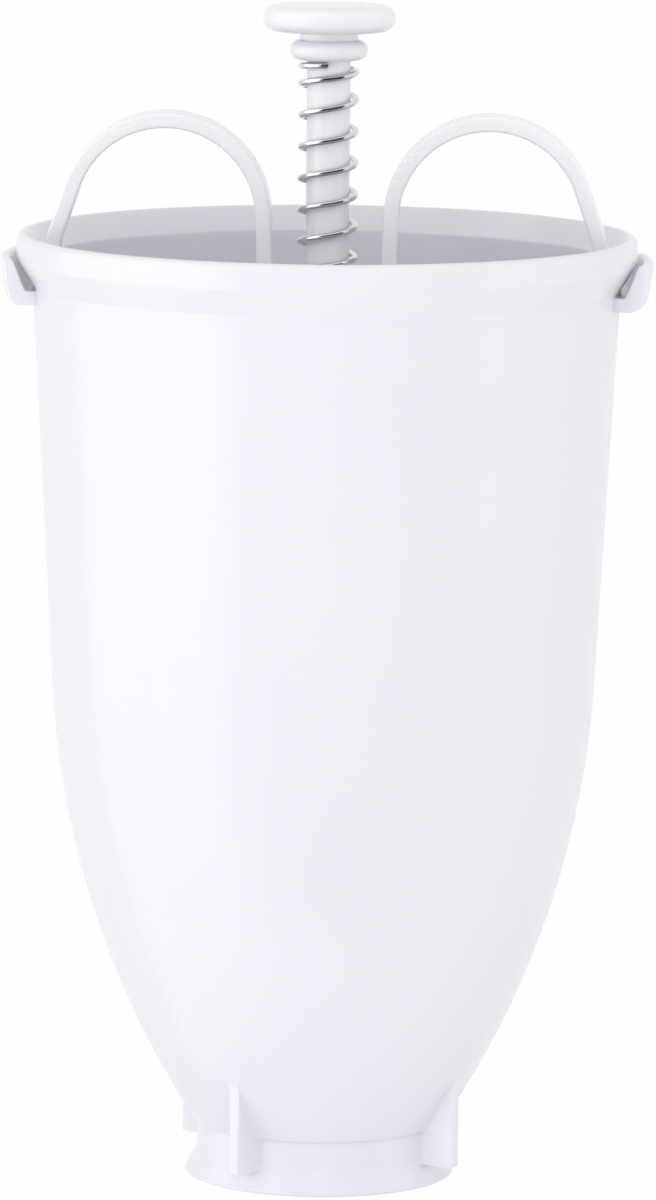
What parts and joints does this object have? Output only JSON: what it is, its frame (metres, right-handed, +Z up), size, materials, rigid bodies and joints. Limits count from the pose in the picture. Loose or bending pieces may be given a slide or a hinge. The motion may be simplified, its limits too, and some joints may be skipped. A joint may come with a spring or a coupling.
{
  "type": "pancake batter dispenser",
  "caption": "Tall plastic batter hopper with finger loops at the rim and a sprung thumb plunger down its axis that opens a conical valve in its foot.",
  "frame": {"origin": "on the plunger's axis, in the plane of the skirt's bottom edge that it stands on", "axes": "+Z up along the plunger, from the outlet to the knob; X through the two finger loops and the two rim lugs"},
  "size_m": [0.1202, 0.114, 0.2177],
  "materials": {
    "hopper_plastic": "smooth gloss white moulding",
    "bridge_plastic": "smooth semi-gloss white moulding",
    "plunger_plastic": "smooth semi-gloss white moulding",
    "spring_steel": "bright drawn spring wire"
  },
  "bodies": {
    "dispenser_body": {"hopper": "hopper_plastic", "finger_bridge": "bridge_plastic", "return_spring": "spring_steel"},
    "plunger": {"plunger_rod": "plunger_plastic", "knob": "plunger_plastic", "valve_plug": "plunger_plastic"}
  },
  "joints": [
    {"name": "plunger_press", "type": "slide", "parent": "dispenser_body", "child": "plunger", "axis": [0, 0, -1], "range_m": [0, 0.022], "stiffness_N_per_m": 500, "springref_m": -0.01, "deforming": ["return_spring"]}
  ]
}
